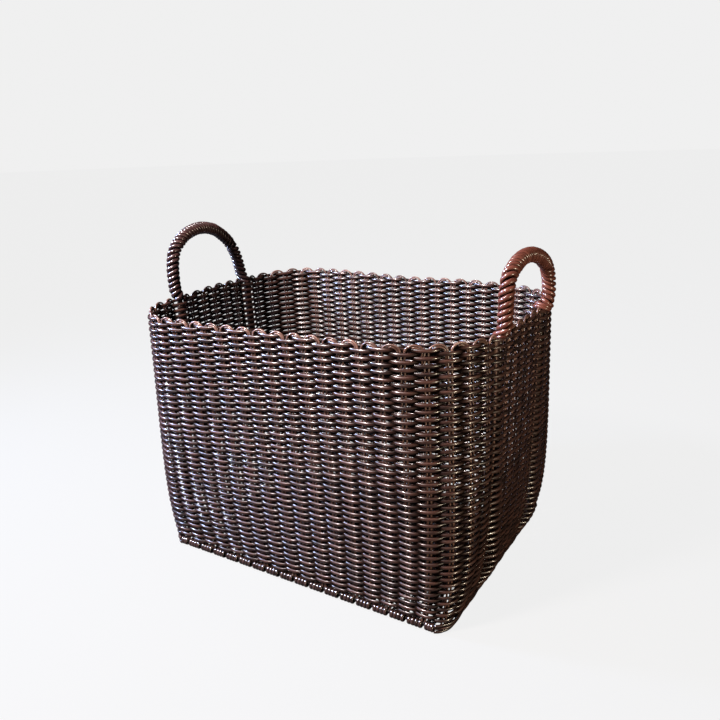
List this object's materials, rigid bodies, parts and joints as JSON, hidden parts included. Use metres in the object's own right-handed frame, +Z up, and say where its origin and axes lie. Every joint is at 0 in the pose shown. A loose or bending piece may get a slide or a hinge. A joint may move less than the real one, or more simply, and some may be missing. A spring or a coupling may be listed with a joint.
{
  "type": "wicker log basket",
  "caption": "Tall rectangular wicker log basket with rounded corners, a scalloped woven rim, a wrapped base edge and a wrapped hoop handle on each end.",
  "frame": {"origin": "on the floor under the middle of the basket", "axes": "+Z up, +X towards the right end wall along the basket's length, -Y towards the front long wall"},
  "size_m": [0.5214, 0.349, 0.448],
  "materials": {
    "wall_cane": "stained round cane with a glossy lacquer",
    "stake_cane": "stained thin cane with a satin lacquer",
    "handle_cane": "red brown stained cane with a glossy lacquer",
    "base_cane": "stained round cane with a glossy lacquer",
    "frame_rod": "dark stained rod, satin"
  },
  "bodies": {
    "root": {"front_weave": "wall_cane", "back_weave": "wall_cane", "left_weave": "wall_cane", "right_weave": "wall_cane", "front_left_corner_weave": "wall_cane", "front_right_corner_weave": "wall_cane", "back_left_corner_weave": "wall_cane", "back_right_corner_weave": "wall_cane", "front_stakes": "stake_cane", "back_stakes": "stake_cane", "left_stakes": "stake_cane", "right_stakes": "stake_cane", "front_left_stakes": "stake_cane", "front_right_stakes": "stake_cane", "back_left_stakes": "stake_cane", "back_right_stakes": "stake_cane", "left_handle_core": "frame_rod", "right_handle_core": "frame_rod", "left_handle_wrap": "handle_cane", "right_handle_wrap": "handle_cane", "base_frame": "frame_rod", "front_base_binding": "base_cane", "back_base_binding": "base_cane", "base_ribs": "frame_rod", "base_weave": "base_cane"}
  },
  "joints": []
}
